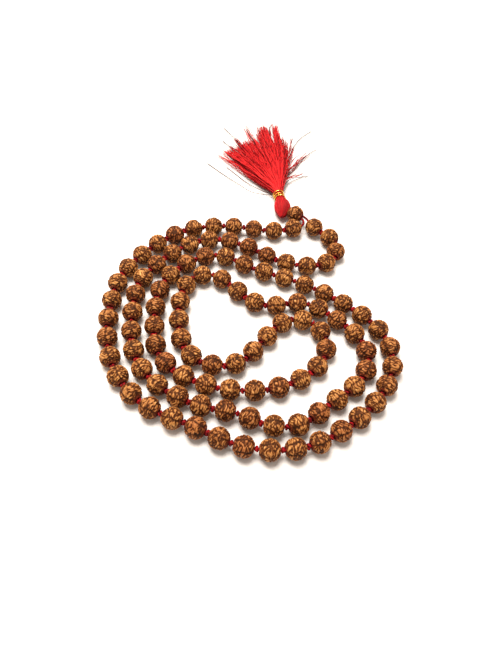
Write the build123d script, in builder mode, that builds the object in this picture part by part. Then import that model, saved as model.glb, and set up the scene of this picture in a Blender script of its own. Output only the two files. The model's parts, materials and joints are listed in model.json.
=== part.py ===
"""A 108-bead rudraksha mala with its guru bead and tassel, lying coiled on a table.

Millimetres, +Z up.  The table top is z = 0, +Y points from the coil of beads towards the
tassel, and the origin is under the middle of the whole object.  The 108 counting beads are
strung on one thread with a small knot between neighbours.  Both ends of the thread pass
through the guru bead, where they meet the short cord that carries the tassel.
"""
from build123d import *
import math
import os

os.makedirs("parts", exist_ok=True)

# ---------------------------------------------------------------- driving dimensions
BEAD_COUNT = 108            # counting beads, without the guru bead
BEAD_DIA = 7.7              # a small five-face rudraksha seed
BEAD_LENGTH = 7.2           # along its bore
BEAD_BORE = 2.3             # loose on the thread, so that a bead can be turned

THREAD_DIA = 1.1            # red cotton stringing thread
STRUNG_HEIGHT = BEAD_DIA / 2
KNOT_DIA = 1.9              # knot that keeps two beads apart
KNOT_WIDTH = 0.5
KNOT_HOLE = 1.3
BEAD_GRIP = 2.6             # a bead hangs on the thread at this distance each side of its middle

FIRST_BEAD_AT = 14.8        # along the thread, from its first end to the middle of bead 1
LAST_BEAD_TO_END = 13.6     # from the middle of bead 108 to the thread's other end
SINGLE_BEADS = 24           # beads next to the guru bead, each side, that are a node each
BEAD_GROUPS = 4             # the other beads, in groups along the thread

GURU_DIA = 7.4
GURU_LENGTH = 6.9
GURU_BORE = 2.9             # takes the thread twice
GURU_CENTRE = Vector(14.6, 24.0, 4.6)
GURU_TURN = -25             # degrees from +X to the end where the thread leaves for the beads

CORD_DIA = 1.8              # the doubled thread ends that carry the tassel
CORD_START = -4.9           # along the guru bead's bore, from its middle
CORD_END = -2.8
SOCKET_DIA = 1.9            # where that cord enters the tassel head

HEAD_TIP = Vector(8.8, 22.2, 3.55)
HEAD_LEAN = 9               # degrees from +Y towards -X
HEAD_TIP_RADIUS = 0.9
HEAD_RADIUS = 3.5
HEAD_WIDEST_AT = 6.8        # distances along the head from its tip
SHOULDER_AT = 12.2
SHOULDER_RADIUS = 2.3
STUB_END_AT = 12.9
STUB_RADIUS = 1.9

WRAPS = 5                   # turns of gold thread round the neck
WRAP_PITCH = 0.7
WRAP_RADIUS = 0.4           # of the flattened gold thread's section
WRAP_CENTRE_RADIUS = 2.5

NECK_AT = 15.0              # the skirt turns about this point, inside the gold binding
NECK_RADIUS = 1.75
STEM_RADIUS = 1.3           # of the skirt where it leaves the binding
SKIRT_LEAN = 22             # degrees from +Y towards -X
SKIRT_SECTIONS = (          # distance from the neck, half width, half height, middle's height
    (2.2, STEM_RADIUS, STEM_RADIUS, 3.55),
    (8.0, 6.5, 2.9, 3.4),
    (24.0, 16.5, 2.8, 3.15),
    (42.0, 25.0, 2.0, 2.3),
    (51.3, 20.0, 0.9, 1.2),
)

# The thread's route, from the guru bead round the coil and back to it.  Corners of a chain
# of straight runs that are rounded with tangent arcs.
H = STRUNG_HEIGHT
THREAD_ROUTE = (
    # out of the guru bead and folded back to bead 1
    (12.2, 24.5, 4.6), (15.3, 23.0, 4.6), (17.9, 21.8, 4.4), (18.7, 20.0, 4.1),
    (18.2, 18.1, 3.9), (15.7, 16.4, H), (10.8, 14.2, H),
    # the outer turn: back edge, left side, front, right side
    (4, 12.5, H), (-6, 13.2, H), (-18, 12.7, H), (-30.5, 8.8, H), (-40.5, 0.5, H),
    (-48.5, -10.5, H), (-53.8, -22, H), (-54.2, -34, H), (-52.8, -48, H), (-49, -60, H),
    (-41.3, -71, H), (-30.2, -78.4, H), (-15, -82.5, H), (-2, -87.5, H), (12, -88.5, H),
    (26, -85, H), (38, -76, H), (48, -65.5, H), (54.5, -52, H), (53.9, -39.5, H),
    # back along the third row, down the third column and along the front
    (46, -29.5, H), (34, -21.7, H), (20, -15, H), (7, -11.9, H), (-4, -9, H),
    (-13, -4.2, H), (-21.5, -5.2, H), (-30.3, -12.4, H), (-36.1, -21.4, H), (-37.4, -31, H),
    (-35.8, -43, H), (-34, -53, H), (-27, -61.5, H), (-15, -66.2, H), (-3, -67.5, H),
    (12, -65, H), (24, -57.5, H), (30, -47.5, H),
    # the small inner bend, and round the open middle
    (28.9, -38.5, H), (21.5, -32.2, H), (12.6, -34, H), (5, -45.5, H), (-1.5, -56, H),
    (-11, -58.8, H), (-22, -55, H), (-26.5, -44, H), (-28.3, -31, H), (-27.2, -20.8, H),
    (-21.9, -15.3, H), (-14.5, -15.6, H), (-7.5, -21.3, H), (-1, -27.3, H), (8, -28.7, H),
    (17, -24.2, H), (26, -26.2, H), (35, -32.5, H), (43, -39.5, H),
    # the second turn: right side, front, left side
    (46, -49, H), (41.5, -59, H), (31, -68.5, H), (21, -78.3, H), (11, -79.8, H),
    (-2, -75.3, H), (-14, -75, H), (-28, -70.1, H), (-37.8, -62.3, H), (-43.2, -51, H),
    (-45.4, -36, H), (-46.0, -23.5, H), (-40.4, -13, H), (-33.3, -4, H), (-25, 3, H),
    # back to the right, round the end bend and into the guru bead again
    (-13, 5, H), (-2, 1, H), (8.5, -4.1, H), (20, -6.0, H), (30.5, -2.5, H), (34, 5.2, H),
    (31, 13, H), (25, 16.1, H), (21.6, 18.4, 4.3), (20.5, 20.8, 4.7), (18.7, 22.8, 4.7),
    (15.7, 24.3, 4.6), (12.7, 25.6, 4.6),
)


def direction(degrees):
    """Unit vector in the table's plane, turned from +X."""
    return Vector(math.cos(math.radians(degrees)), math.sin(math.radians(degrees)), 0)


def save(piece, name):
    piece.part.label = name
    export_step(piece.part, f"parts/{name}.step")


def rounding(points):
    """For each corner, the arc that takes 0.45 of the shorter run beside it."""
    radii = []
    for before, corner, after in zip(points, points[1:], points[2:]):
        run_in = corner - before
        run_out = after - corner
        turn = math.radians(run_in.get_angle(run_out))
        radii.append(0.45 * min(run_in.length, run_out.length) / math.tan(turn / 2))
    return radii


# ---------------------------------------------------------------- stringing thread
route_points = [Vector(*point) for point in THREAD_ROUTE]
route_radii = rounding(route_points)
with BuildLine() as thread_line:
    FilletPolyline(*route_points, radius=route_radii)
thread_path = thread_line.wire()

with BuildPart() as stringing_thread:
    with BuildSketch(Plane(thread_path @ 0, z_dir=thread_path % 0)):
        Circle(THREAD_DIA / 2)
    sweep(path=thread_path)
save(stringing_thread, "stringing_thread")

thread_length = thread_path.length
thread_section = math.pi * THREAD_DIA**2 / 4
print("corner radii", [round(radius, 1) for radius in route_radii])
print(f"thread length {thread_length:.1f}, volume {stringing_thread.part.volume:.1f}",
      f"against section x length {thread_section * thread_length:.1f}")

# ---------------------------------------------------------------- places along the thread
strung_length = thread_length - FIRST_BEAD_AT - LAST_BEAD_TO_END
bead_pitch = strung_length / (BEAD_COUNT - 1)
print(f"bead pitch {bead_pitch:.2f}")


def on_thread(distance, reach):
    """Place across the thread's chord from `reach` before `distance` to `reach` after it."""
    back = thread_path @ ((distance - reach) / thread_length)
    ahead = thread_path @ ((distance + reach) / thread_length)
    return Plane((back + ahead) / 2, z_dir=ahead - back).location


bead_places = []
for index in range(BEAD_COUNT):
    bead_places.append(on_thread(FIRST_BEAD_AT + index * bead_pitch, BEAD_GRIP))

knot_places = []
for index in range(BEAD_COUNT - 1):
    knot_places.append(on_thread(FIRST_BEAD_AT + (index + 0.5) * bead_pitch, KNOT_WIDTH / 2))


# ---------------------------------------------------------------- rudraksha seeds
def seed(diameter, length, bore):
    """A round seed with flat worn ends and a drilled bore along Z."""
    with BuildPart() as shape:
        Sphere(diameter / 2)
        Box(diameter, diameter, length, mode=Mode.INTERSECT)
        Cylinder(bore / 2, diameter, mode=Mode.SUBTRACT)
    return shape.part


bead_seed = seed(BEAD_DIA, BEAD_LENGTH, BEAD_BORE)


def string_beads(name, places):
    with BuildPart() as beads:
        with Locations(*places):
            add(bead_seed)
    save(beads, name)


for index, place in enumerate(bead_places):
    if index < SINGLE_BEADS or index >= BEAD_COUNT - SINGLE_BEADS:
        string_beads(f"bead_{index + 1:03d}", [place])

group_size = (BEAD_COUNT - 2 * SINGLE_BEADS) // BEAD_GROUPS
for group in range(BEAD_GROUPS):
    first = SINGLE_BEADS + group * group_size
    last = first + group_size
    string_beads(f"beads_{first + 1:03d}_to_{last:03d}", bead_places[first:last])

# ---------------------------------------------------------------- knots between the beads
with BuildPart() as bead_knots:
    with Locations(*knot_places):
        Cylinder(KNOT_DIA / 2, KNOT_WIDTH)
        Cylinder(KNOT_HOLE / 2, KNOT_WIDTH, mode=Mode.SUBTRACT)
save(bead_knots, "bead_knots")

# ---------------------------------------------------------------- guru bead
guru_axis = direction(GURU_TURN)
guru_plane = Plane(GURU_CENTRE, z_dir=guru_axis)
guru_seed = seed(GURU_DIA, GURU_LENGTH, GURU_BORE)
with BuildPart() as guru_bead:
    with Locations(guru_plane.location):
        add(guru_seed)
save(guru_bead, "guru_bead")

# ---------------------------------------------------------------- cord that carries the tassel
with BuildPart() as tassel_cord:
    with BuildSketch(guru_plane.offset(CORD_START)):
        Circle(CORD_DIA / 2)
    extrude(amount=CORD_END - CORD_START)
save(tassel_cord, "tassel_cord")

# ---------------------------------------------------------------- tassel head
head_axis = direction(90 + HEAD_LEAN)
head_plane = Plane(HEAD_TIP, x_dir=Vector(0, 0, 1), z_dir=head_axis)
head_side = Plane(HEAD_TIP, x_dir=Vector(0, 0, 1), z_dir=Vector(0, 0, 1).cross(head_axis))
with BuildPart() as tassel_head:
    with BuildSketch(head_side):
        with BuildLine():
            Line((0, 0), (HEAD_TIP_RADIUS, 0))
            Spline((HEAD_TIP_RADIUS, 0), (HEAD_RADIUS, HEAD_WIDEST_AT),
                   (SHOULDER_RADIUS, SHOULDER_AT),
                   tangents=((0.8, 1), (-0.6, 1)))
            Polyline((SHOULDER_RADIUS, SHOULDER_AT), (STUB_RADIUS, SHOULDER_AT),
                     (STUB_RADIUS, STUB_END_AT), (0, STUB_END_AT), (0, 0))
        make_face()
    revolve(axis=Axis(HEAD_TIP, head_axis))
    with BuildSketch(guru_plane.offset(CORD_START)):
        Circle(SOCKET_DIA / 2)
    extrude(amount=CORD_END - CORD_START, mode=Mode.SUBTRACT)
save(tassel_head, "tassel_head")

# ---------------------------------------------------------------- gold binding
with BuildPart() as tassel_binding:
    for wrap in range(WRAPS):
        middle = head_plane.offset(SHOULDER_AT + WRAP_RADIUS + wrap * WRAP_PITCH)
        with Locations(middle.location):
            Torus(WRAP_CENTRE_RADIUS, WRAP_RADIUS)
save(tassel_binding, "tassel_binding")

# ---------------------------------------------------------------- tassel skirt
neck = HEAD_TIP + head_axis * NECK_AT
skirt_axis = direction(90 + SKIRT_LEAN)
skirt_across = direction(SKIRT_LEAN)
with BuildPart() as tassel_skirt:
    for distance, half_width, half_height, height in SKIRT_SECTIONS:
        middle = neck + skirt_axis * distance
        middle.Z = height
        with BuildSketch(Plane(middle, x_dir=skirt_across, z_dir=skirt_axis)):
            Ellipse(half_width, half_height)
    loft()
    with BuildSketch(Plane(neck, z_dir=skirt_axis)):
        Circle(STEM_RADIUS)
    extrude(amount=SKIRT_SECTIONS[0][0])
    with Locations(neck):
        Sphere(NECK_RADIUS)
save(tassel_skirt, "tassel_skirt")

print("guru bead axis", guru_axis, "neck", neck)
print("pieces", len(os.listdir("parts")))
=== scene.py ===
"""Looks for a 108-bead rudraksha mala that lies coiled on a pale table beside its tassel.

Metres, +Z up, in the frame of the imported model.  Lengths are written in millimetres
times MM.
"""
import json
import math
import random

import bmesh
import bpy
import numpy as np
from mathutils import Matrix, Vector


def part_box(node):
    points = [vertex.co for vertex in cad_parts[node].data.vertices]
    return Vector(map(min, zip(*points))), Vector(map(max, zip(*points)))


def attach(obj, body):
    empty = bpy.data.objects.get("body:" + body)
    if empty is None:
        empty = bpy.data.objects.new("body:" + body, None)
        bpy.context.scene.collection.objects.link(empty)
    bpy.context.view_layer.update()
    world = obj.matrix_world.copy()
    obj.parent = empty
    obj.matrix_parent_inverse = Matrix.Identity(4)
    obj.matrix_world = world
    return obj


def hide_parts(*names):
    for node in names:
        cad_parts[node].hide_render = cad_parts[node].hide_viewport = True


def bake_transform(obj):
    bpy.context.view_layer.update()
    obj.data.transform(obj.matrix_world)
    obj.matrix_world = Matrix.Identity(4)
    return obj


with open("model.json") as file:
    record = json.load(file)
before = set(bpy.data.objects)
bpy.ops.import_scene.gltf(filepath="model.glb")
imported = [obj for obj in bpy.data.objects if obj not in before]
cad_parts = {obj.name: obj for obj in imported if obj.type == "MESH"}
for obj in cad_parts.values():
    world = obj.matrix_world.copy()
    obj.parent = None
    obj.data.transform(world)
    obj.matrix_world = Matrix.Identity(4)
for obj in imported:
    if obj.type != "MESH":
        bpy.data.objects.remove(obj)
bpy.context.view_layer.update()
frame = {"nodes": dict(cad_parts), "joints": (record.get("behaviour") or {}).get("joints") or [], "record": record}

MM = 0.001
SEED = 108                     # of every random draw
FULL_TURN = 6.28               # radians, near enough for a random start

BEAD_DIA = 7.7
BEAD_HALF_LENGTH = 3.6
BEAD_BORE = 2.3
GURU_DIA = 7.4
GURU_HALF_LENGTH = 3.45
GURU_BORE = 2.9
THREAD_DIA = 1.1


# ---------------------------------------------------------------- helpers
def deselect_all():
    if bpy.context.object and bpy.context.object.mode != "OBJECT":
        bpy.ops.object.mode_set(mode="OBJECT")
    bpy.ops.object.select_all(action="DESELECT")


def select_only(piece):
    deselect_all()
    piece.select_set(True)
    bpy.context.view_layer.objects.active = piece


def pick_faces(piece, chosen):
    """Selects, in edit mode, the faces for which chosen() is true."""
    select_only(piece)
    bpy.ops.object.mode_set(mode="EDIT")
    bpy.ops.mesh.select_mode(type="FACE")
    bpy.ops.mesh.select_all(action="DESELECT")
    bpy.ops.object.mode_set(mode="OBJECT")
    for face in piece.data.polygons:
        face.select = chosen(face)
    bpy.ops.object.mode_set(mode="EDIT")


def points_of(piece):
    """The piece's vertices, in millimetres."""
    flat = np.empty(len(piece.data.vertices) * 3)
    piece.data.vertices.foreach_get("co", flat)
    return flat.reshape(-1, 3) / MM


def move_points(piece, points):
    piece.data.vertices.foreach_set("co", (points * MM).ravel())
    piece.data.update()


def mark(mesh, name, values):
    """Stores a value for each vertex, for a material to read."""
    if name not in mesh.attributes:
        mesh.attributes.new(name, "FLOAT", "POINT")
    mesh.attributes[name].data.foreach_set("value", np.asarray(values, np.float32))


def new_piece(name, mesh, body, slot, *nodes, material=None):
    """A finished piece, from a mesh or an object, that stands for CAD nodes and rides on
    a body."""
    piece = mesh if isinstance(mesh, bpy.types.Object) else bpy.data.objects.new(name, mesh)
    piece.name = name
    if piece.name not in bpy.context.scene.collection.all_objects:
        bpy.context.scene.collection.objects.link(piece)
    piece.data.materials.clear()
    piece.data.materials.append(material)
    if body:
        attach(piece, body)
    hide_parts(*nodes)
    return piece


def gathered(name, copies):
    """One mesh made of placed copies, each a (master mesh, place, attribute values) triple."""
    shape = bmesh.new()
    for master, place, values in copies:
        copied = master.copy()
        copied.transform(place)
        for key, value in values.items():
            mark(copied, key, np.full(len(copied.vertices), value))
        shape.from_mesh(copied)
        bpy.data.meshes.remove(copied)
    mesh = bpy.data.meshes.new(name)
    shape.to_mesh(mesh)
    shape.free()
    return mesh


def turned(axis, spin, middle, size=1.0):
    """A place whose Z lies along an axis, spun about it, at a middle point."""
    lay = Vector(axis).to_track_quat("Z", "Y").to_matrix().to_4x4()
    return (Matrix.Translation(middle) @ lay @ Matrix.Rotation(spin, 4, "Z")
            @ Matrix.Scale(size, 4))


def tube(line, radii, sides, turn=0.0):
    """Points and faces of a closed tube along a line, in millimetres."""
    line = np.asarray(line, float)
    along = np.gradient(line, axis=0)
    along /= np.linalg.norm(along, axis=1)[:, None]
    up = np.array([0.0, 0.0, 1.0]) if abs(along[0][2]) < 0.9 else np.array([1.0, 0.0, 0.0])
    rows = []
    for point, way, radius in zip(line, along, radii):
        side = np.cross(way, up)
        side /= np.linalg.norm(side)
        up = np.cross(side, way)
        angles = turn + np.arange(sides) * 2 * math.pi / sides
        rows.append(point + radius * (np.cos(angles)[:, None] * side
                                      + np.sin(angles)[:, None] * up))
    points = np.concatenate(rows)
    faces = []
    for row in range(len(line) - 1):
        for corner in range(sides):
            after = (corner + 1) % sides
            faces.append((row * sides + corner, row * sides + after,
                          (row + 1) * sides + after, (row + 1) * sides + corner))
    last = (len(line) - 1) * sides
    faces.append(tuple(range(sides))[::-1])
    faces.append(tuple(range(last, last + sides)))
    return points, faces


def tubes_mesh(name, made, values=None):
    """One mesh from several (points, faces) pairs, with a dict of values for each pair."""
    points, faces, marks, start = [], [], {}, 0
    for index, (some_points, some_faces) in enumerate(made):
        points.append(some_points)
        faces += [tuple(corner + start for corner in face) for face in some_faces]
        start += len(some_points)
        for key, value in (values[index] if values else {}).items():
            marks.setdefault(key, []).append(np.broadcast_to(value, len(some_points)))
    mesh = bpy.data.meshes.new(name)
    mesh.from_pydata(np.concatenate(points) * MM, [], faces)
    for key, parts in marks.items():
        mark(mesh, key, np.concatenate(parts))
    mesh.polygons.foreach_set("use_smooth", [True] * len(mesh.polygons))
    mesh.update()
    shape = bmesh.new()
    shape.from_mesh(mesh)
    bmesh.ops.recalc_face_normals(shape, faces=shape.faces)
    shape.to_mesh(mesh)
    shape.free()
    return mesh


# ---------------------------------------------------------------- camera
CAMERA_AT = (0, -165, 180.2)
CAMERA_TILT = 35.7             # degrees up from straight down
CAMERA_ROLL = 6.2
CAMERA_LENS = 31.57            # for a 36 mm wide sensor

deselect_all()
bpy.ops.object.camera_add(location=Vector(CAMERA_AT) * MM)
camera = bpy.context.object
camera.name = "camera"
camera.rotation_euler = (Matrix.Rotation(math.radians(CAMERA_TILT), 3, "X")
                         @ Matrix.Rotation(math.radians(CAMERA_ROLL), 3, "Z")).to_euler()
camera.data.sensor_width = 36
camera.data.lens = CAMERA_LENS
camera.data.clip_start = 0.01
camera.data.clip_end = 20
bpy.context.scene.camera = camera

# ---------------------------------------------------------------- stringing thread
H = 3.85                       # height of the strung beads' middles
THREAD_ROUTE = (
    # out of the guru bead and folded back to bead 1
    (12.2, 24.5, 4.6), (15.3, 23.0, 4.6), (17.9, 21.8, 4.4), (18.7, 20.0, 4.1),
    (18.2, 18.1, 3.9), (15.7, 16.4, H), (10.8, 14.2, H),
    # the outer turn: back edge, left side, front, right side
    (4, 12.5, H), (-6, 13.2, H), (-18, 12.7, H), (-30.5, 8.8, H), (-40.5, 0.5, H),
    (-48.5, -10.5, H), (-53.8, -22, H), (-54.2, -34, H), (-52.8, -48, H), (-49, -60, H),
    (-41.3, -71, H), (-30.2, -78.4, H), (-15, -82.5, H), (-2, -87.5, H), (12, -88.5, H),
    (26, -85, H), (38, -76, H), (48, -65.5, H), (54.5, -52, H), (53.9, -39.5, H),
    # back along the third row, down the third column and along the front
    (46, -29.5, H), (34, -21.7, H), (20, -15, H), (7, -11.9, H), (-4, -9, H),
    (-13, -4.2, H), (-21.5, -5.2, H), (-30.3, -12.4, H), (-36.1, -21.4, H), (-37.4, -31, H),
    (-35.8, -43, H), (-34, -53, H), (-27, -61.5, H), (-15, -66.2, H), (-3, -67.5, H),
    (12, -65, H), (24, -57.5, H), (30, -47.5, H),
    # the small inner bend, and round the open middle
    (28.9, -38.5, H), (21.5, -32.2, H), (12.6, -34, H), (5, -45.5, H), (-1.5, -56, H),
    (-11, -58.8, H), (-22, -55, H), (-26.5, -44, H), (-28.3, -31, H), (-27.2, -20.8, H),
    (-21.9, -15.3, H), (-14.5, -15.6, H), (-7.5, -21.3, H), (-1, -27.3, H), (8, -28.7, H),
    (17, -24.2, H), (26, -26.2, H), (35, -32.5, H), (43, -39.5, H),
    # the second turn: right side, front, left side
    (46, -49, H), (41.5, -59, H), (31, -68.5, H), (21, -78.3, H), (11, -79.8, H),
    (-2, -75.3, H), (-14, -75, H), (-28, -70.1, H), (-37.8, -62.3, H), (-43.2, -51, H),
    (-45.4, -36, H), (-46.0, -23.5, H), (-40.4, -13, H), (-33.3, -4, H), (-25, 3, H),
    # back to the right, round the end bend and into the guru bead again
    (-13, 5, H), (-2, 1, H), (8.5, -4.1, H), (20, -6.0, H), (30.5, -2.5, H), (34, 5.2, H),
    (31, 13, H), (25, 16.1, H), (21.6, 18.4, 4.3), (20.5, 20.8, 4.7), (18.7, 22.8, 4.7),
    (15.7, 24.3, 4.6), (12.7, 25.6, 4.6),
)

thread_curve = bpy.data.curves.new("stringing_cotton", "CURVE")
thread_curve.dimensions = "3D"
thread_spline = thread_curve.splines.new("NURBS")
thread_spline.points.add(len(THREAD_ROUTE) - 1)
for spline_point, corner in zip(thread_spline.points, THREAD_ROUTE):
    spline_point.co = (*(value * MM for value in corner), 1)
    spline_point.radius = THREAD_DIA / 2 * MM
thread_spline.order_u = 3
thread_spline.use_endpoint_u = True
thread_spline.resolution_u = 12
stringing_cotton = bpy.data.objects.new("stringing_cotton", thread_curve)
bpy.context.scene.collection.objects.link(stringing_cotton)


def line_of(curve_object):
    """The points of a curve's own line, in millimetres, while it has no bevel."""
    bpy.context.view_layer.update()
    seen = curve_object.evaluated_get(bpy.context.evaluated_depsgraph_get())
    mesh = bpy.data.meshes.new_from_object(seen)
    flat = np.empty(len(mesh.vertices) * 3)
    mesh.vertices.foreach_get("co", flat)
    bpy.data.meshes.remove(mesh)
    return flat.reshape(-1, 3) / MM


thread_line = line_of(stringing_cotton)
thread_curve.bevel_depth = 1    # times the points' radius
thread_curve.bevel_resolution = 2
thread_curve.use_fill_caps = True
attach(stringing_cotton, "strung_loop")
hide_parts("stringing_thread")


def thread_way(middle, reach):
    """Direction of the thread where it passes a point, read over reach each side of it."""
    nearest = int(np.argmin(np.linalg.norm(thread_line - np.array(middle) / MM, axis=1)))
    steps = np.linalg.norm(np.diff(thread_line, axis=0), axis=1)
    run = np.concatenate([[0], np.cumsum(steps)])
    ends = [np.array([np.interp(run[nearest] + side * reach, run, thread_line[:, axis])
                      for axis in range(3)]) for side in (-1, 1)]
    return Vector(ends[1] - ends[0]).normalized()


# ---------------------------------------------------------------- materials
def colour(code):
    """Linear RGBA from an sRGB hex code."""
    parts = [int(code[start:start + 2], 16) / 255 for start in (1, 3, 5)]
    return (*(p / 12.92 if p <= 0.04045 else ((p + 0.055) / 1.055) ** 2.4 for p in parts), 1)


def new_material(name):
    """A material with an empty node tree but for its output and surface shader."""
    material = bpy.data.materials.new(name)
    material.use_nodes = True
    return material, material.node_tree.nodes["Principled BSDF"]


def add(material, kind, sockets=None, ramp=None, **settings):
    """Adds a node. Settings are its properties; a socket's value is a number, a colour or
    the output that feeds it; ramp is a list of (position, colour code) pairs."""
    made = material.node_tree.nodes.new("ShaderNode" + kind)
    for key, value in settings.items():
        setattr(made, key, value)
    for key, value in (sockets or {}).items():
        if isinstance(value, bpy.types.NodeSocket):
            material.node_tree.links.new(value, made.inputs[key])
        else:
            made.inputs[key].default_value = value
    if ramp:
        stops = made.color_ramp.elements
        while len(stops) < len(ramp):
            stops.new(0.5)
        for stop, (position, code) in zip(stops, ramp):
            stop.position = position
            stop.color = colour(code)
    return made


def feed(material, shader, **sockets):
    """Sets or links the surface shader's sockets; an underscore stands for a space."""
    for key, value in sockets.items():
        socket = shader.inputs[key.replace("_", " ")]
        if isinstance(value, bpy.types.NodeSocket):
            material.node_tree.links.new(value, socket)
        else:
            socket.default_value = value


def oiled_rudraksha_seed():
    """Dry woody seed, cleaned with a brush and rubbed with oil: tan ridges with painted light
    at their tops, over dark brown crevices of painted shade."""
    material, shader = new_material("oiled_rudraksha_seed")
    place = add(material, "TexCoord").outputs["Object"]
    relief = add(material, "Attribute", attribute_name="relief").outputs["Fac"]
    tone = add(material, "Attribute", attribute_name="tone").outputs["Fac"]
    # blotches about 2 mm across, where the skin of the seed took more or less oil
    blotches = add(material, "TexNoise", {"Vector": place, "Scale": 480.0, "Detail": 3.0})
    # fibres about 0.25 mm across
    grain = add(material, "TexNoise", {"Vector": place, "Scale": 3600.0, "Detail": 4.0,
                                       "Roughness": 0.65})
    rub = add(material, "Math", {0: grain.outputs["Fac"], 1: 0.28, 2: -0.14},
              operation="MULTIPLY_ADD")
    height = add(material, "Math", {0: relief, 1: rub.outputs[0]}, operation="ADD")
    # painted shade in the crevices and painted light on the ridge tops, read from the relief
    skin_with_painted_shading = add(material, "ValToRGB", {"Fac": height.outputs[0]},
               [(0.0, "#2E1307"), (0.2, "#5A2E12"), (0.42, "#86562C"), (0.64, "#B6824C"),
                (1.0, "#E2BA7E")])
    warmth = add(material, "ValToRGB", {"Fac": tone},
                 [(0.0, "#C98F78"), (0.5, "#E4CBB0"), (1.0, "#FFF3DC")])
    tinted = add(material, "MixRGB", {"Fac": 0.7, "Color1": skin_with_painted_shading.outputs["Color"],
                                      "Color2": warmth.outputs["Color"]},
                 blend_type="MULTIPLY")
    patch = add(material, "ValToRGB", {"Fac": blotches.outputs["Fac"]},
                [(0.35, "#A9705A"), (0.6, "#FFFFFF")])
    aged = add(material, "MixRGB", {"Fac": 0.32, "Color1": tinted.outputs["Color"],
                                    "Color2": patch.outputs["Color"]},
               blend_type="MULTIPLY")
    # the thread's dye has rubbed off round the bore's ends
    dye = add(material, "Attribute", attribute_name="dye").outputs["Fac"]
    stained = add(material, "MixRGB", {"Fac": dye, "Color1": aged.outputs["Color"],
                                       "Color2": colour("#7C2416")})
    gloss = add(material, "MapRange", {"Value": height.outputs[0], "To Min": 0.72,
                                       "To Max": 0.46})
    bumps = add(material, "Bump", {"Strength": 0.35, "Distance": 0.06 * MM,
                                   "Height": grain.outputs["Fac"]})
    feed(material, shader, Base_Color=stained.outputs["Color"],
         Roughness=gloss.outputs["Result"], IOR=1.5, Specular_IOR_Level=0.28,
         Specular_Tint=colour("#FFDDB0"), Normal=bumps.outputs["Normal"])
    return material


def mercerised_cotton():
    """Three-ply cotton cord, dyed madder red: a soft sheen along its twisted plies, and
    painted shade where the plies meet."""
    material, shader = new_material("mercerised_red_cotton")
    place = add(material, "TexCoord").outputs["Object"]
    tone = add(material, "Attribute", attribute_name="tone").outputs["Fac"]
    # ridges about 1.1 mm apart across the cord at a slant: real plies are half as wide and
    # too fine to show
    plies = add(material, "TexWave", {"Vector": place, "Scale": 340.0, "Distortion": 2.5,
                                      "Detail": 1.0}, bands_direction="DIAGONAL")
    fuzz = add(material, "TexNoise", {"Vector": place, "Scale": 2600.0, "Detail": 3.0})
    # painted shade between the plies, over the cord's madder red
    dyed = add(material, "ValToRGB", {"Fac": plies.outputs["Fac"]},
               [(0.0, "#38060A"), (0.5, "#670B12"), (1.0, "#860F17")])
    bright = add(material, "MixRGB", {"Fac": tone, "Color1": dyed.outputs["Color"],
                                      "Color2": colour("#981116")})
    bumps = add(material, "Bump", {"Strength": 0.6, "Distance": 0.12 * MM,
                                   "Height": plies.outputs["Fac"]})
    fibres = add(material, "Bump", {"Strength": 0.4, "Distance": 0.04 * MM,
                                    "Height": fuzz.outputs["Fac"],
                                    "Normal": bumps.outputs["Normal"]})
    feed(material, shader, Base_Color=bright.outputs["Color"], Roughness=0.62, IOR=1.53,
         Specular_IOR_Level=0.25, Specular_Tint=colour("#FF9A90"),
         Sheen_Weight=0.02, Sheen_Roughness=0.4, Sheen_Tint=colour("#FF6A5A"),
         Normal=fibres.outputs["Normal"])
    return material


def viscose_thread():
    """Bright red viscose tassel thread, silky: painted light almost orange-red and painted
    shade a deep crimson, read from the tone attribute and the painted glints."""
    material, shader = new_material("red_viscose_thread")
    place = add(material, "TexCoord").outputs["Object"]
    tone = add(material, "Attribute", attribute_name="tone").outputs["Fac"]
    # painted glints about 0.45 mm long, where a thread's twist catches the light
    painted_glint_flecks = add(material, "TexNoise", {"Vector": place, "Scale": 2200.0, "Detail": 2.0})
    shade = add(material, "Math", {0: painted_glint_flecks.outputs["Fac"], 1: 0.3, 2: -0.15},
                operation="MULTIPLY_ADD")
    mixed = add(material, "Math", {0: tone, 1: shade.outputs[0]}, operation="ADD")
    dyed = add(material, "ValToRGB", {"Fac": mixed.outputs[0]},
               [(0.0, "#1C0608"), (0.12, "#5E060D"), (0.4, "#8C0910"), (0.7, "#B21018"),
                (1.0, "#D62A2A")])
    bumps = add(material, "Bump", {"Strength": 0.4, "Distance": 0.05 * MM,
                                   "Height": painted_glint_flecks.outputs["Fac"]})
    feed(material, shader, Base_Color=dyed.outputs["Color"], Roughness=0.6, IOR=1.4,
         Specular_IOR_Level=0.38, Specular_Tint=colour("#FFB4AA"),
         Normal=bumps.outputs["Normal"])
    return material


def metallised_thread():
    """Gold-coloured metallised film wound on a core thread: bright metal glints, partly painted
    into its colour, broken by the film's slanting turns."""
    material, shader = new_material("metallised_gold_thread")
    place = add(material, "TexCoord").outputs["Object"]
    # painted glints about 0.7 mm across, coarser than the film's own turns so that they show
    turns = add(material, "TexNoise", {"Vector": place, "Scale": 1500.0, "Detail": 2.0})
    metal = add(material, "ValToRGB", {"Fac": turns.outputs["Fac"]},
                [(0.3, "#B87A1E"), (0.5, "#EDB13C"), (0.7, "#FFE08A")])
    rough = add(material, "MapRange", {"Value": turns.outputs["Fac"], "To Min": 0.42,
                                       "To Max": 0.2})
    bumps = add(material, "Bump", {"Strength": 0.5, "Distance": 0.05 * MM,
                                   "Height": turns.outputs["Fac"]})
    feed(material, shader, Base_Color=metal.outputs["Color"], Metallic=1.0,
         Roughness=rough.outputs["Result"], Normal=bumps.outputs["Normal"])
    return material


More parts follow.
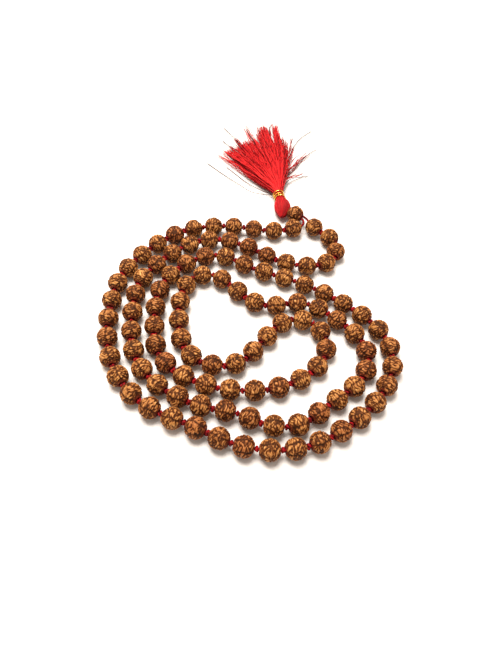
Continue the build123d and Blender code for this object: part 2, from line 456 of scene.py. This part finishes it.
def painted_board():
    """Table top of board with matt off-white paint: even, with a faint roller texture."""
    material, shader = new_material("matt_pale_painted_board")
    place = add(material, "TexCoord").outputs["Object"]
    # roller stipple 1 mm across
    stipple = add(material, "TexNoise", {"Vector": place, "Scale": 1000.0, "Detail": 2.0})
    white = add(material, "ValToRGB", {"Fac": stipple.outputs["Fac"]},
                [(0.3, "#DAD7D4"), (0.7, "#E0DEDC")])
    bumps = add(material, "Bump", {"Strength": 0.05, "Distance": 0.02 * MM,
                                   "Height": stipple.outputs["Fac"]})
    feed(material, shader, Base_Color=white.outputs["Color"], Roughness=0.8, IOR=1.45,
         Normal=bumps.outputs["Normal"])
    return material


seed_finish = oiled_rudraksha_seed()
cotton_finish = mercerised_cotton()
viscose_finish = viscose_thread()
gold_finish = metallised_thread()
stringing_cotton.data.materials.append(cotton_finish)

# ---------------------------------------------------------------- rudraksha seeds
SEED_SEGMENTS = 84
SEED_RINGS = 72
SEED_KINDS = 9                 # different seeds that the string is made up from
CLEFTS = 5                     # from pole to pole
TUBERCLES = 142                # on one seed
TUBERCLE_DEPTH = 0.6
TUBERCLE_ROUND = 1.6           # stretch round the seed
TUBERCLE_ALONG = 0.72          # stretch along it
LOWEST_TUBERCLE = 0.84         # share of the full height
WALL_WIDTH = 1.15              # of the groove between two tubercles
LOW_WALLS = 0.2                # share of neighbours that run together
LOW_WALL_HEIGHT = 0.6
WARP_SIZE = 2.8
WARP = 0.085                   # how far the grooves stray from straight
CLEFT_DEPTH = 0.1
CLEFT_WIDTH = 0.3
CLEFT_CUT = 0.4                # share of a tubercle's height that a cleft takes away
GRAIN_SIZE = 0.75
GRAIN_DEPTH = 0.035
LOBE_SIZE = 6.0
LOBE_DEPTH = 0.04
WORN_REACH = 0.9               # from the bore's edge to where the relief is full
USUAL_TOP = 30                 # percentile of the depth that lies at the CAD bead's radius
WORN_TOP = -0.06               # how far the highest ridges may stand out
DYE_REACH = 1.5                # from the bore's edge to where the thread's dye ends
DYE = 0.6
SEED_SIZES = (0.99, 1.015)
SEED_SPAN = 2.6                # of thread, each side of a bead, that gives its direction


def plain_seed(name, diameter, bore):
    """A round seed with its bore, before the relief is carved."""
    deselect_all()
    bpy.ops.mesh.primitive_uv_sphere_add(segments=SEED_SEGMENTS, ring_count=SEED_RINGS,
                                         radius=diameter / 2 * MM)
    seed = bpy.context.object
    seed.name = name
    pick_faces(seed, lambda face: math.hypot(*face.center[:2]) < bore / 2 * MM)
    bpy.ops.mesh.delete(type="FACE")
    bpy.ops.mesh.select_mode(type="EDGE")
    bpy.ops.mesh.select_non_manifold(extend=False)
    bpy.ops.mesh.bridge_edge_loops(number_cuts=3, interpolation="LINEAR")
    bpy.ops.mesh.select_all(action="SELECT")
    bpy.ops.mesh.normals_make_consistent(inside=False)
    bpy.ops.object.mode_set(mode="OBJECT")
    bpy.ops.object.shade_smooth()
    return seed


def scattered(count, draw):
    """Points spread evenly over a unit sphere, each moved a little at random."""
    steps = np.arange(count) + 0.5
    heights = 1 - 2 * steps / count
    turns = steps * math.pi * (3 - math.sqrt(5))
    rings = np.sqrt(1 - heights**2)
    points = np.stack([rings * np.cos(turns), rings * np.sin(turns), heights], 1)
    points += draw.normal(0, 0.055, points.shape)
    return points / np.linalg.norm(points, axis=1)[:, None]


def waves(points, draw, size, count=10):
    """A smooth random field over points, about -1 to 1, with features of a given size."""
    field = np.zeros(len(points))
    for _ in range(count):
        way = draw.normal(0, 1, 3)
        way *= 2 * math.pi / size / np.linalg.norm(way) * draw.uniform(0.6, 1.4)
        field += np.sin(points @ way + draw.uniform(0, 2 * math.pi))
    return field / math.sqrt(count)


def carve(seed, diameter, half_length, bore, draw):
    """Cuts the seed's clefts and knobbly ridges, and stores how high each point stands and
    how much dye it took."""
    points = points_of(seed)
    away = np.hypot(points[:, 0], points[:, 1])
    in_bore = away < bore / 2 + 0.02
    directions = points / np.linalg.norm(points, axis=1)[:, None]
    radius = diameter / 2

    # tubercles: cells a little longer round the seed than along it, with some walls low
    warp = np.stack([waves(points, draw, WARP_SIZE) for _ in range(3)], 1)
    bent = directions + WARP * warp
    bent /= np.linalg.norm(bent, axis=1)[:, None]
    middles = scattered(TUBERCLES, draw)
    round_way = np.cross([0, 0, 1], middles)
    round_way /= np.maximum(np.linalg.norm(round_way, axis=1), 0.2)[:, None]
    pole_way = np.cross(middles, round_way)
    apart = bent[:, None, :] - middles[None]
    across = np.einsum("ijk,jk->ij", apart, round_way) / TUBERCLE_ROUND
    along = np.einsum("ijk,jk->ij", apart, pole_way) / TUBERCLE_ALONG
    sunk = np.einsum("ijk,jk->ij", apart, middles)
    distance = np.sqrt(across**2 + along**2 + sunk**2) * radius
    order = np.argsort(distance, axis=1)[:, :2]
    nearest = np.take_along_axis(distance, order, 1)
    low_wall = draw.random((TUBERCLES, TUBERCLES)) < LOW_WALLS
    low_wall = low_wall | low_wall.T
    wall = np.clip((nearest[:, 1] - nearest[:, 0]) / WALL_WIDTH, 0, 1)
    top = wall * wall * (3 - 2 * wall)
    between = middles[order[:, 1]] - middles[order[:, 0]]
    sideways = np.abs(np.einsum("ij,ij->i", between, round_way[order[:, 0]]))
    lengthways = np.abs(np.einsum("ij,ij->i", between, pole_way[order[:, 0]]))
    merged = low_wall[order[:, 0], order[:, 1]] & (sideways > lengthways)
    top = np.where(merged, LOW_WALL_HEIGHT + 0.4 * top, top)
    stand = draw.uniform(LOWEST_TUBERCLE, 1.0, TUBERCLES)[order[:, 0]]
    height = top * stand

    # clefts: wavering lines from pole to pole
    turn = np.arctan2(points[:, 1], points[:, 0])
    polar = np.arccos(np.clip(directions[:, 2], -1, 1))
    cleft = np.zeros(len(points))
    for index in range(CLEFTS):
        line = index * 2 * math.pi / CLEFTS + draw.uniform(-0.12, 0.12)
        line = line + 0.07 * np.sin(4.0 * polar + draw.uniform(0, FULL_TURN))
        offset = np.abs((turn - line + math.pi) % (2 * math.pi) - math.pi)
        gap = offset * away
        cleft = np.maximum(cleft, np.exp(-(gap / CLEFT_WIDTH) ** 2))
    height *= 1 - CLEFT_CUT * cleft

    fine = waves(points, draw, GRAIN_SIZE, 16)
    worn = np.clip((away - bore / 2) / WORN_REACH, 0, 1) ** 0.7
    lobes = LOBE_DEPTH * waves(points, draw, LOBE_SIZE)
    depth = (TUBERCLE_DEPTH * (1 - height) + CLEFT_DEPTH * cleft - GRAIN_DEPTH * fine) * worn
    usual_top = np.percentile(depth[away > radius / 2], USUAL_TOP)
    depth = np.maximum(depth - lobes - usual_top, WORN_TOP)
    carved = directions * (radius - depth)[:, None]
    flat = half_length - 0.12 * (1 - worn)
    carved[:, 2] = np.clip(carved[:, 2], -flat, flat)

    bore_points = points.copy()
    bore_points[:, :2] *= (bore / 2 / np.maximum(away, 1e-6))[:, None]
    bore_points[:, 2] = np.clip(bore_points[:, 2], -half_length + 0.1, half_length - 0.1)
    move_points(seed, np.where(in_bore[:, None], bore_points, carved))
    # relief sets the colour: painted shade where it is low, in grooves, clefts, near and inside the bore; painted
    # light where high
    relief = np.clip(height + 0.08 * fine - 0.3 * cleft, 0, 1)
    relief = relief * (0.35 + 0.65 * worn)
    mark(seed.data, "relief", np.where(in_bore, 0.05, relief))
    mark(seed.data, "dye", DYE * np.clip(1 - (away - bore / 2) / DYE_REACH, 0, 1) ** 1.5)


seed_draw = np.random.default_rng(SEED)
blank = plain_seed("blank_seed", BEAD_DIA, BEAD_BORE)
kinds = []
for kind in range(SEED_KINDS):
    carved_seed = blank.copy()
    carved_seed.data = blank.data.copy()
    carve(carved_seed, BEAD_DIA, BEAD_HALF_LENGTH, BEAD_BORE, seed_draw)
    kinds.append(carved_seed.data)
    bpy.data.objects.remove(carved_seed)
bpy.data.objects.remove(blank)

place_draw = random.Random(SEED)
joints = {joint["child"]: joint for joint in frame["joints"]}
bodies = frame["record"]["behaviour"]["bodies"]
body_of_node = {node: body for body, nodes in bodies.items() for node in nodes}


def seed_copy(middle, way):
    """A seed of a random kind, end for end or not, turned at random about its bore."""
    master = place_draw.choice(kinds)
    way = Vector(way) * place_draw.choice((-1, 1))
    place = turned(way, place_draw.uniform(0, 2 * math.pi), middle,
                   place_draw.uniform(*SEED_SIZES))
    return master, place, {"tone": min(1, max(0, place_draw.gauss(0.5, 0.22)))}


def solids_of(node):
    """The middle of each separate solid of a CAD node."""
    shape = bmesh.new()
    shape.from_mesh(frame["nodes"][node].data)
    bmesh.ops.remove_doubles(shape, verts=shape.verts, dist=0.001 * MM)
    shape.verts.ensure_lookup_table()
    seen, middles = set(), []
    for start in shape.verts:
        if start in seen:
            continue
        found, waiting = [], [start]
        seen.add(start)
        while waiting:
            corner = waiting.pop()
            found.append(corner.co.copy())
            for edge in corner.link_edges:
                other = edge.other_vert(corner)
                if other not in seen:
                    seen.add(other)
                    waiting.append(other)
        low = Vector(min(corner[axis] for corner in found) for axis in range(3))
        high = Vector(max(corner[axis] for corner in found) for axis in range(3))
        middles.append((low + high) / 2)
    shape.free()
    return middles


for node in sorted(frame["nodes"]):
    if node.startswith("bead_0") or node.startswith("bead_1"):
        joint = joints[body_of_node[node]]
        copies = [seed_copy(Vector(joint["pos_m"]), joint["axis"])]
    elif node.startswith("beads_"):
        copies = [seed_copy(middle, thread_way(middle, SEED_SPAN)) for middle in solids_of(node)]
    else:
        continue
    name = node.replace("bead", "seed")
    new_piece(name, gathered(name, copies), body_of_node[node], "counting_beads", node,
              material=seed_finish)

# ---------------------------------------------------------------- guru bead
guru_joint = joints[body_of_node["guru_bead"]]
guru_middle = Vector(guru_joint["pos_m"])
guru_way = Vector(guru_joint["axis"])
guru_blank = plain_seed("guru_blank", GURU_DIA, GURU_BORE)
carve(guru_blank, GURU_DIA, GURU_HALF_LENGTH, GURU_BORE, seed_draw)
guru_mesh = gathered("guru_seed", [(guru_blank.data, turned(guru_way, 0.4, guru_middle),
                                    {"tone": 0.35})])
bpy.data.objects.remove(guru_blank)
new_piece("guru_seed", guru_mesh, body_of_node["guru_bead"], "guru_bead", "guru_bead",
          material=seed_finish)

# ---------------------------------------------------------------- knots between beads
KNOT_REACH = 0.31              # size of the trefoil's turns
KNOT_THREAD = 0.37             # radius of the thread it is tied in
KNOT_STEPS = 24
KNOT_SPAN = 0.5                # of thread, each side of a knot, that gives its direction
turns = np.linspace(0, 2 * math.pi, KNOT_STEPS + 1)[:-1]
trefoil = np.stack([KNOT_REACH * (np.sin(turns) + 2 * np.sin(2 * turns)),
                    KNOT_REACH * (np.cos(turns) - 2 * np.cos(2 * turns)),
                    -0.3 * np.sin(3 * turns)], 1)


def ring_tube(line, radius, sides):
    """Points and faces of a closed ring-shaped tube along a closed line."""
    along = np.roll(line, -1, 0) - np.roll(line, 1, 0)
    along /= np.linalg.norm(along, axis=1)[:, None]
    out = line * (1, 1, 0)
    out /= np.maximum(np.linalg.norm(out, axis=1), 1e-6)[:, None]
    side = np.cross(along, out)
    side /= np.linalg.norm(side, axis=1)[:, None]
    up = np.cross(side, along)
    angles = np.arange(sides) * 2 * math.pi / sides
    points = (line[:, None, :] + radius * (np.cos(angles)[None, :, None] * side[:, None, :]
                                           + np.sin(angles)[None, :, None] * up[:, None, :]))
    steps = len(line)
    faces = [(row * sides + corner, row * sides + (corner + 1) % sides,
              (row + 1) % steps * sides + (corner + 1) % sides,
              (row + 1) % steps * sides + corner)
             for row in range(steps) for corner in range(sides)]
    return points.reshape(-1, 3), faces


knot_mesh = tubes_mesh("knot", [ring_tube(trefoil, KNOT_THREAD, 6)])
knot_copies = []
for middle in solids_of("bead_knots"):
    place = turned(thread_way(middle, KNOT_SPAN), place_draw.uniform(0, FULL_TURN), middle,
                   place_draw.uniform(0.92, 1.1))
    knot_copies.append((knot_mesh, place, {"tone": place_draw.uniform(0.0, 0.75) ** 1.5}))
new_piece("cotton_knots", gathered("cotton_knots", knot_copies), "strung_loop",
          "stringing_thread", "bead_knots", material=cotton_finish)

# ---------------------------------------------------------------- cord into the tassel
CORD_PLIES = 2
CORD_TWIST = 2.4               # millimetres for one turn of the twist
CORD_REACH = 1.05              # each way from its middle
PLY_REACH = 0.42               # of a ply's line from the cord's own
PLY_RADIUS = 0.46
cord_low, cord_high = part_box("tassel_cord")
cord_middle = (cord_low + cord_high) / 2
cord_steps = np.linspace(-CORD_REACH, CORD_REACH, 15)
plies = []
for ply in range(CORD_PLIES):
    angle = cord_steps / CORD_TWIST * 2 * math.pi + ply * 2 * math.pi / CORD_PLIES
    line = np.stack([PLY_REACH * np.cos(angle), PLY_REACH * np.sin(angle), cord_steps], 1)
    plies.append(tube(line, np.full(len(line), PLY_RADIUS), 8))
cord_mesh = tubes_mesh("tassel_plies", plies, [{"tone": 0.6}] * CORD_PLIES)
cord_mesh.transform(turned(guru_way, 0, cord_middle))
new_piece("tassel_plies", cord_mesh, "tassel_head", "tassel_thread", "tassel_cord",
          material=viscose_finish)

# ---------------------------------------------------------------- tassel head
HEAD_LEAN = 9                  # degrees from +Y towards -X
HEAD_THREADS = 34              # lie side by side round the head
HEAD_PROFILE = ((0, 0.55), (0.35, 0.95), (1.2, 1.6), (2.4, 2.5), (4.0, 3.3), (6.0, 3.75),
                (8.0, 3.65), (9.5, 3.05), (10.6, 2.35), (11.6, 2.0), (15.2, 1.9))
HEAD_NECK = 15.0               # from its tip to the skirt's joint
HEAD_SAG = 1.0                 # the head bends to the right of its own line
HEAD_SAG_OVER = 13.5           # this far from its tip
HEAD_SLANT = 0.35              # radians that a thread turns from tip to neck
HEAD_GROOVE = 0.26             # between two threads
SMOOTHING = 13                 # steps of the profile that are averaged
neck = Vector(joints["tassel_skirt"]["pos_m"]) / MM
head_way = Vector((-math.sin(math.radians(HEAD_LEAN)), math.cos(math.radians(HEAD_LEAN)), 0))
head_tip = neck - head_way * HEAD_NECK


def head_place(points):
    """From (side, up, along) of the head, in millimetres from its tip, to the frame."""
    side = np.array((head_way.y, -head_way.x, 0))
    up = np.array((0, 0, 1))
    sag = HEAD_SAG * np.sin(np.clip(points[:, 2:] / HEAD_SAG_OVER, 0, 1) * math.pi) ** 0.6
    return (np.array(head_tip) + (points[:, :1] + sag) * side + points[:, 1:2] * up
            + points[:, 2:] * np.array(head_way))


deselect_all()
bpy.ops.mesh.primitive_uv_sphere_add(segments=HEAD_THREADS * 6, ring_count=64, radius=MM)
head_ball = bpy.context.object
ball = points_of(head_ball)
share = np.arccos(np.clip(ball[:, 2], -1, 1)) / math.pi
length_of_head = HEAD_PROFILE[-1][0]
along_head = share * length_of_head
profile_at, profile_radius = np.array(HEAD_PROFILE).T
smooth_at = np.linspace(0, length_of_head, 200)
drawn = np.interp(smooth_at, profile_at, profile_radius)
soft = np.convolve(np.pad(drawn, SMOOTHING // 2, "edge"),
                   np.ones(SMOOTHING) / SMOOTHING, "valid")
reach = np.interp(along_head, smooth_at, soft)
around = np.arctan2(ball[:, 1], ball[:, 0])
head_draw = np.random.default_rng(SEED + 1)
slant = HEAD_SLANT * along_head / length_of_head + 0.03 * np.sin(along_head * 0.9 + 2 * around)
strand = (around + slant) * HEAD_THREADS / (2 * math.pi)
which = np.floor(strand).astype(int) % HEAD_THREADS
ridge = np.sqrt(np.clip(1 - (2 * (strand % 1) - 1) ** 2, 0, 1))
lift = head_draw.uniform(-0.09, 0.03, HEAD_THREADS)[which]
fade = np.clip(reach / 2.0, 0, 1)
reach = reach - HEAD_GROOVE * fade * (1 - ridge) + lift * fade
at_pole = (share < 1e-4) | (share > 1 - 1e-4)
reach = np.where(at_pole, 0, reach)
head_points = np.stack([reach * np.cos(around), reach * np.sin(around), along_head], 1)
move_points(head_ball, head_place(head_points))
# painted shade in the grooves and on sunken threads, painted light on ridges and raised threads
mark(head_ball.data, "tone",
     np.clip(0.06 + 0.56 * ridge + 2.5 * lift + 0.1 * np.sin(3 * around), 0.02, 1))
select_only(head_ball)
bpy.ops.object.mode_set(mode="EDIT")
bpy.ops.mesh.select_all(action="SELECT")
bpy.ops.mesh.normals_make_consistent(inside=False)
bpy.ops.object.mode_set(mode="OBJECT")
bpy.ops.object.shade_smooth()
new_piece("tassel_knob", head_ball, "tassel_head", "tassel_thread", "tassel_head",
          material=viscose_finish)

# ---------------------------------------------------------------- gold binding
GOLD_TURNS = 2.8
GOLD_FROM, GOLD_TO = 11.5, 15.9    # along the head, in millimetres from its tip
GOLD_RADIUS = 0.24
GOLD_RIB = 0.55                    # millimetres from one film turn to the next
GOLD_REACH = 2.27                  # of the winding's line from the neck's
GOLD_RUN_REACH = 2.3               # that the thread's length is counted at
GOLD_STEPS = 90                    # in one turn
GOLD_LEAN = 0.34                   # how far the last turn tips along the neck
steps = int(GOLD_TURNS * GOLD_STEPS)
wind = np.linspace(0, GOLD_TURNS * 2 * math.pi, steps)
climb = np.interp(wind, (0, wind[-1]), (GOLD_FROM, GOLD_TO))
climb = climb + 0.22 * np.sin(wind * 0.63)
lean_out = np.interp(wind, (0, wind[-1]), (0.0, GOLD_LEAN))
gold_reach = GOLD_REACH + 0.07 * np.sin(wind * 1.7)
gold_line = np.stack([gold_reach * np.cos(wind), gold_reach * np.sin(wind),
                      climb + lean_out * gold_reach * np.cos(wind)], 1)
gold_line = head_place(gold_line)
gold_run = np.arange(steps) * GOLD_RUN_REACH * GOLD_TURNS * 2 * math.pi / steps
gold_radii = GOLD_RADIUS * (1 + 0.1 * np.sin(gold_run / GOLD_RIB * 2 * math.pi))
gold_mesh = tubes_mesh("gold_winding", [tube(gold_line, gold_radii, 10)])
new_piece("gold_winding", gold_mesh, "tassel_head", "gold_thread", "tassel_binding",
          material=gold_finish)

# ---------------------------------------------------------------- tassel skirt
# Locks of thread that end together: degrees from +Y towards -X seen from the neck,
# distance of the tips, number of threads, and how far apart their tips lie.
LOCKS = (
    (49.5, 41.5, 8, 0.7), (43.5, 42.5, 24, 1.0), (43, 34, 30, 2.0), (40, 41, 30, 1.3),
    (36.5, 44, 24, 0.8), (33.5, 41, 40, 2.2), (30.0, 48.5, 20, 0.8), (28.2, 44, 42, 1.6),
    (24.3, 45, 42, 1.8), (21.1, 58, 8, 0.4), (19.5, 45, 40, 1.9), (16, 50, 26, 1.2),
    (13.8, 55, 34, 1.0), (11, 56.5, 40, 1.1), (9.4, 54, 20, 0.8), (8.0, 45, 34, 1.6),
    (5.1, 57, 46, 0.9), (3.0, 50, 30, 0.9), (0.8, 46.5, 30, 0.9), (-1.4, 42.5, 28, 0.9),
    (-5.2, 49, 5, 0.4), (-3.6, 37, 20, 0.8), (-8.3, 41, 5, 0.5), (-15.3, 34.5, 3, 0.5),
    (-20.9, 39, 6, 0.5), (-18.5, 30, 4, 0.6), (-30.5, 22.5, 5, 0.35),
)
# Single threads that have come away, each along its own points.
STRAYS = (
    ((4.6, 36.6, 3.2), (0, 37.2, 2.2), (-6.9, 39.2, 1.2), (-10.8, 43, 0.9), (-19.5, 49.4, 0.5),
     (-29, 57.3, 0.4)),
    ((4.8, 37.2, 2.6), (-2, 41, 1.2), (-9, 46.2, 0.5), (-14, 51, 0.5), (-19.6, 56, 0.5)),
    ((4, 44, 5), (-6, 60, 3), (-17, 77, 1.2), (-21.9, 83.3, 0.6), (-24.3, 86.2, 0.5)),
    ((5, 45, 5), (-3, 65, 3), (-8.6, 77.6, 1.2), (-12.5, 86, 0.8)),
    ((6, 46, 5), (3, 70, 2.6), (-2.4, 90, 1), (0.4, 94, 0.6)),
    ((7.4, 44, 5), (9.4, 62, 2.4), (12.4, 77.6, 1), (16.1, 86.2, 0.6), (20.9, 91.5, 0.5)),
    ((8, 42, 4), (9.5, 53, 2), (15, 63, 1), (20.4, 73.7, 0.7), (23.6, 76.5, 0.5)),
    ((5, 44, 5), (-8, 62, 2.2), (-20, 71, 0.9), (-23.6, 75.6, 0.5)),
    ((8, 41, 4), (9.4, 47, 2.2), (12.6, 53, 0.9), (20, 55.6, 0.5)),
)
THREAD_FACES = 4
THREAD_STEPS = 26
SKIRT_THREAD = 0.15            # radius of a free thread
NECK_THREAD = 0.075            # of one that is pressed together in the neck
STRAY_THREAD = 0.18            # of one that has come away, thicker than real so that it shows
NECK_RADIUS = 1.6              # of the threads pressed together in the neck
NECK_INNER = 1.55              # reach of a thread within them
FAN_MIDDLE = 15                # degrees, of the thread that leaves the neck straight
MIDDLE_AT = 0.42               # share of a thread's length to its middle corner
LAYER_RISE = 2.6               # of the top layer over the neck, at the middle
BOW_AT = (-30, -20, -8, 0, 20, 55)      # degrees
BOW = (-4.0, -3.2, 0.2, 1.5, 0.6, -1.0)     # sideways, of the middle corner
REST_HEIGHT = 4.6              # of the top layer's tips on short threads
REST_DROP = 3.4                # less, on threads as long as LONG_THREAD
LONG_THREAD = 56
RIGHT_OF = 10                  # degrees: locks to the right of this get painted shade
RIGHT_SHADE = 0.14

skirt_draw = random.Random(SEED + 2)
neck_point = np.array(neck)
head_along = np.array(head_way)
head_side = np.array((head_way.y, -head_way.x, 0))


def plan_way(degrees):
    angle = math.radians(degrees)
    return np.array((-math.sin(angle), math.cos(angle), 0.0))


def skirt_thread(degrees, length, spread, radius, tone):
    """One thread from inside the binding to its tip, with its own waves."""
    swing = skirt_draw.gauss(0, 1)
    tip_gap = skirt_draw.gauss(0, 1) * spread * 0.5
    own_length = length * (1 - abs(skirt_draw.gauss(0, 0.045)))
    way = plan_way(degrees)
    across = np.array((way[1], -way[0], 0.0))
    ring = math.sqrt(skirt_draw.random()) * NECK_INNER
    turn = skirt_draw.uniform(0, 2 * math.pi)
    # a thread on the left of the fan leaves the left side of the neck
    pull = np.clip((FAN_MIDDLE - degrees) / 45, -0.8, 0.8)
    start_side = np.clip(pull * 1.3 + ring * math.cos(turn) * 0.6, -NECK_RADIUS, NECK_RADIUS)
    start_up = math.sin(turn) * math.sqrt(max(0, NECK_RADIUS**2 - start_side**2))
    start = neck_point + head_side * start_side + np.array((0, 0, start_up))
    layer = start_up / NECK_RADIUS
    rest_height = 0.25 + (layer + 1) * 0.5 * (REST_HEIGHT
                                              - REST_DROP * min(1, own_length / LONG_THREAD))
    tip = neck_point + way * own_length + across * tip_gap
    tip[2] = max(radius + 0.05, rest_height * skirt_draw.uniform(0.3, 1.0))
    bow = np.interp(degrees, BOW_AT, BOW)
    aside = bow + tip_gap * 0.9 + swing * 0.6
    middle = neck_point + way * own_length * MIDDLE_AT + across * aside
    middle[2] = np.clip(neck_point[2] + layer * LAYER_RISE - 0.4, 0.5, 6.8)
    first = start + head_along * 2.6 + head_side * (pull * 1.4)
    first[2] = start[2] + layer * 0.3
    steps = np.linspace(0, 1, THREAD_STEPS)
    back = start - head_along * 2.2
    corners = np.array([back, start, first, middle, (middle + tip) / 2
                        + across * skirt_draw.gauss(0, 0.35), tip])
    line = spline_through(corners, steps)
    wave = skirt_draw.uniform(5, 13)
    phase = skirt_draw.uniform(0, FULL_TURN)
    crimp = skirt_draw.uniform(3.6, 5.5)
    loose = np.clip(steps * 1.6 - 0.2, 0, 1)
    amount = loose * skirt_draw.uniform(0.1, 0.6)
    ripple = loose * skirt_draw.uniform(0.02, 0.2)
    line += across * (amount * np.sin(steps * own_length / wave * FULL_TURN + phase)
                      + ripple * np.sin(steps * own_length / crimp * FULL_TURN))[:, None]
    line[:, 2] += 0.5 * amount * np.cos(steps * own_length / wave * 5.1 + phase)
    line[:, 2] = np.maximum(line[:, 2], radius + 0.03)
    radii = radius * np.interp(steps, (0, 0.12, 0.25, 0.93, 1),
                               (NECK_THREAD / SKIRT_THREAD,) * 2 + (1, 0.9, 0.45))
    # painted shade: a thread is darker where it runs into the binding
    depth = np.interp(steps, (0, 0.3, 1), (-0.1, 0, 0))
    # painted light on threads of the upper layer, painted shade on the lower
    return tube(line, radii, THREAD_FACES, skirt_draw.uniform(0, 1.5)), {
        "tone": np.repeat(np.clip(tone + depth + 0.2 * layer, 0, 1), THREAD_FACES)}


def spline_through(corners, steps):
    """A uniform quadratic B-spline that starts and ends at the end corners."""
    knots = np.concatenate([[0, 0], np.linspace(0, 1, len(corners) - 1), [1, 1]])
    line = []
    for step in np.clip(steps, 0, 1 - 1e-9):
        span = int(np.searchsorted(knots, step, side="right")) - 1
        local = [corners[span - 2 + index].astype(float) for index in range(3)]
        for level in (1, 2):
            for index in range(2, level - 1, -1):
                low = knots[span - 2 + index]
                high = knots[span + 1 + index - level]
                part = (step - low) / (high - low)
                local[index] = (1 - part) * local[index - 1] + part * local[index]
        line.append(local[2])
    return np.array(line)


strands, strand_marks = [], []
for degrees, length, count, spread in LOCKS:
    # a random tone for each lock, with painted shade on the locks to the right
    lock_tone_and_shade = skirt_draw.uniform(-0.12, 0.12) - (RIGHT_SHADE if degrees < RIGHT_OF else 0)
    for _ in range(count):
        made, marks = skirt_thread(degrees + skirt_draw.gauss(0, 0.8), length, spread,
                                   SKIRT_THREAD,
                                   0.6 + lock_tone_and_shade + skirt_draw.gauss(0, 0.24))
        strands.append(made)
        strand_marks.append(marks)
for corners in STRAYS:
    inside = neck_point - head_along * 1.5
    line = spline_through(np.array([inside, neck_point + head_along * 1.2, *corners]),
                          np.linspace(0, 1, THREAD_STEPS))
    strands.append(tube(line, np.full(THREAD_STEPS, STRAY_THREAD), THREAD_FACES))
    # painted shade: stray threads take the darkest tone
    strand_marks.append({"tone": 0.0})
skirt = new_piece("skirt_threads", tubes_mesh("skirt_threads", strands, strand_marks), None,
                  "tassel_thread", "tassel_skirt", material=viscose_finish)
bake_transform(skirt)

# ---------------------------------------------------------------- floor and light
deselect_all()
bpy.ops.mesh.primitive_plane_add(size=6)
table_top = bpy.context.object
table_top.name = "table_top"
table_top.data.materials.append(painted_board())


def soft_light(name, location, target, size, power, code):
    """A square panel light that faces a point."""
    bpy.ops.object.light_add(type="AREA", location=location)
    lamp = bpy.context.object
    lamp.name = name
    lamp.rotation_euler = (Vector(target) - Vector(location)).to_track_quat("-Z", "Y").to_euler()
    lamp.data.size = size
    lamp.data.energy = power
    lamp.data.color = colour(code)[:3]


soft_light("window", (-0.15, 0.17, 0.74), (0, 0, 0), 0.46, 14.0, "#FFF9F2")
soft_light("fill", (0.3, -0.5, 0.7), (0, 0, 0), 0.9, 0.6, "#FFF2E6")

world = bpy.data.worlds.new("pale_room")
world.use_nodes = True
world.node_tree.nodes["Background"].inputs["Color"].default_value = colour("#FFF2E6")
world.node_tree.nodes["Background"].inputs["Strength"].default_value = 0.6
bpy.context.scene.world = world
bpy.context.scene.view_settings.view_transform = "Standard"
